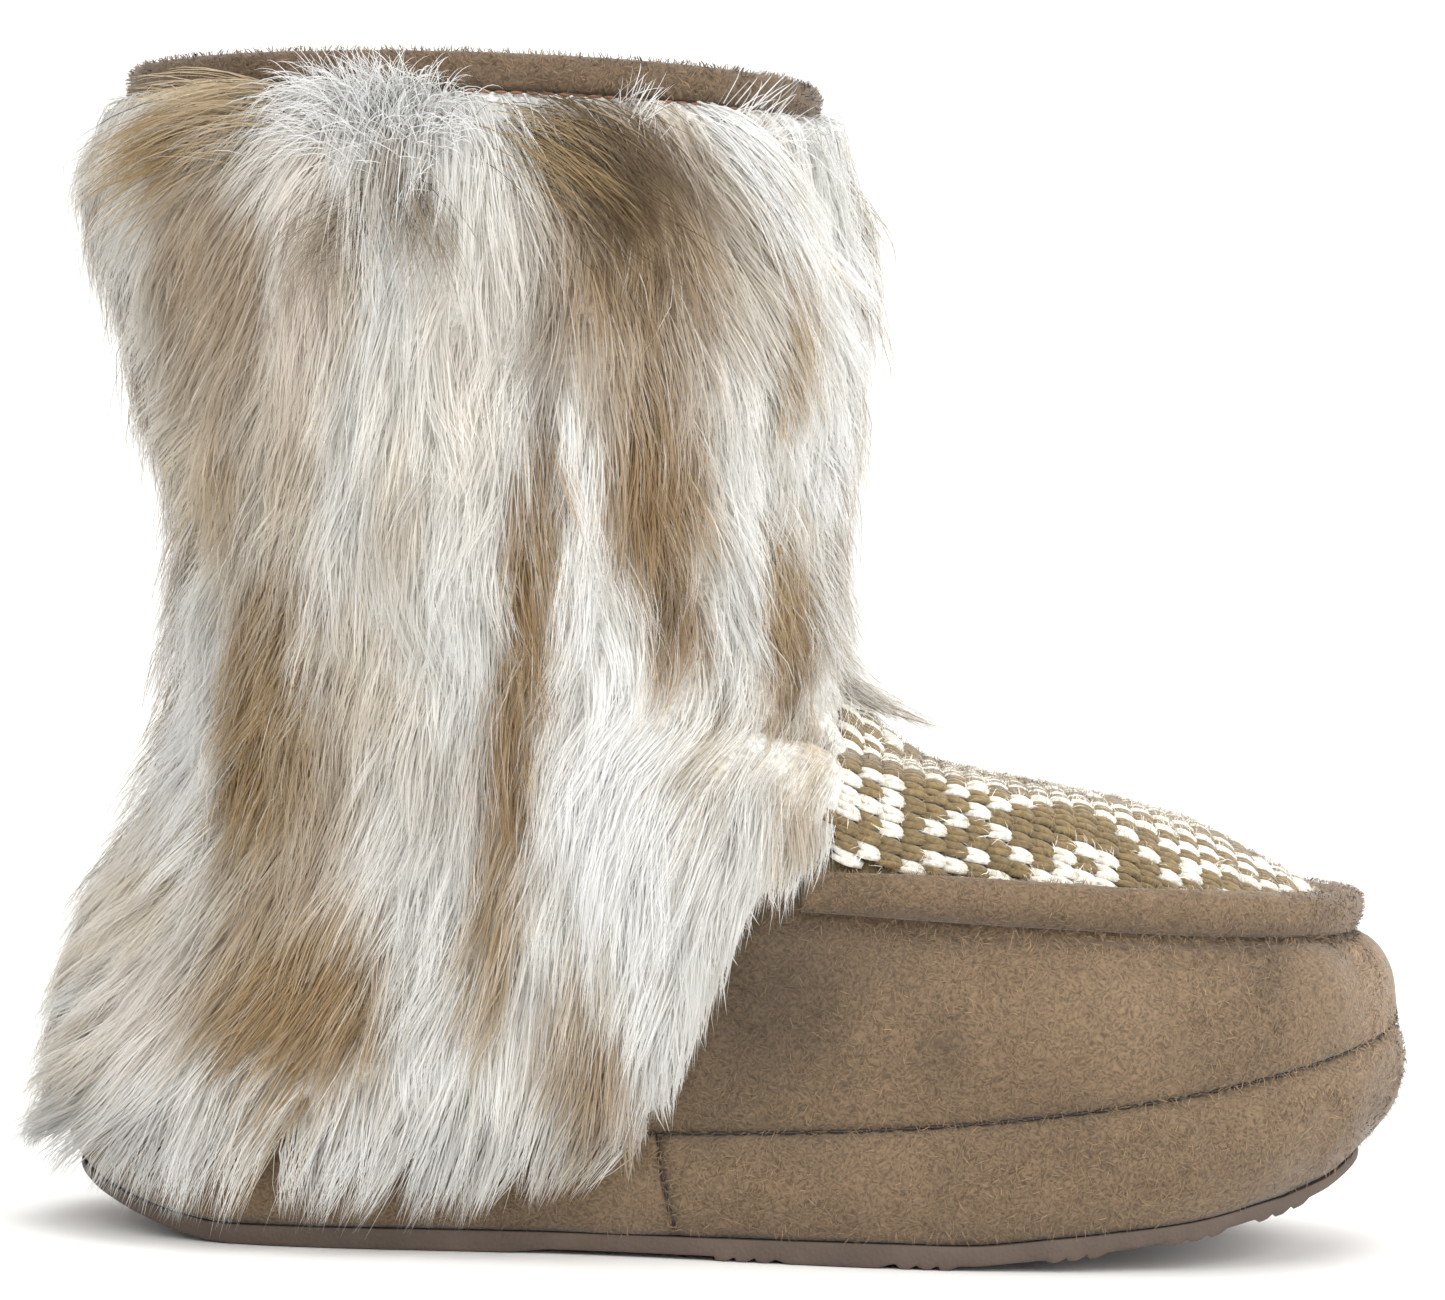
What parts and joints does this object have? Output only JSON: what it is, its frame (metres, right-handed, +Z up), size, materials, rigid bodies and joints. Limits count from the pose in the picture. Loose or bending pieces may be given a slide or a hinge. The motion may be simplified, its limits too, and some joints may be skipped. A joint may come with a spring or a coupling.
{
  "type": "slipper bootie",
  "caption": "Mid-calf slipper bootie: long fur shaft, suede vamp with a rolled seam round a knitted toe panel, brushed collar binding and a padded suede band over a thin rubber sole.",
  "frame": {"origin": "on the floor under the heel, inside the rear part of the rubber sole's flat rest", "axes": "+X towards the toe, +Z up the shaft, +Y towards the inner side of the right foot"},
  "size_m": [0.2783, 0.1282, 0.2329],
  "materials": {
    "sole_rubber": "matte brown rubber",
    "band_suede": "brushed taupe suede cloth",
    "footbed_fleece": "cream fleece",
    "upper_suede": "brushed taupe suede cloth, fleece lined",
    "knit": "chunky two-colour knit, brown and cream",
    "roll_suede": "brushed taupe suede cloth",
    "fur": "long-pile fur, white and cream with tan and brown streaks",
    "brushed_binding": "brushed taupe pile cloth"
  },
  "bodies": {
    "root": {"outsole": "sole_rubber", "platform_cover_rear": "band_suede", "platform_cover_front": "band_suede", "insole": "footbed_fleece", "upper": "upper_suede", "knit_plug": "knit", "rolled_seam": "roll_suede", "fur_shaft": "fur", "collar_binding": "brushed_binding"}
  },
  "joints": []
}
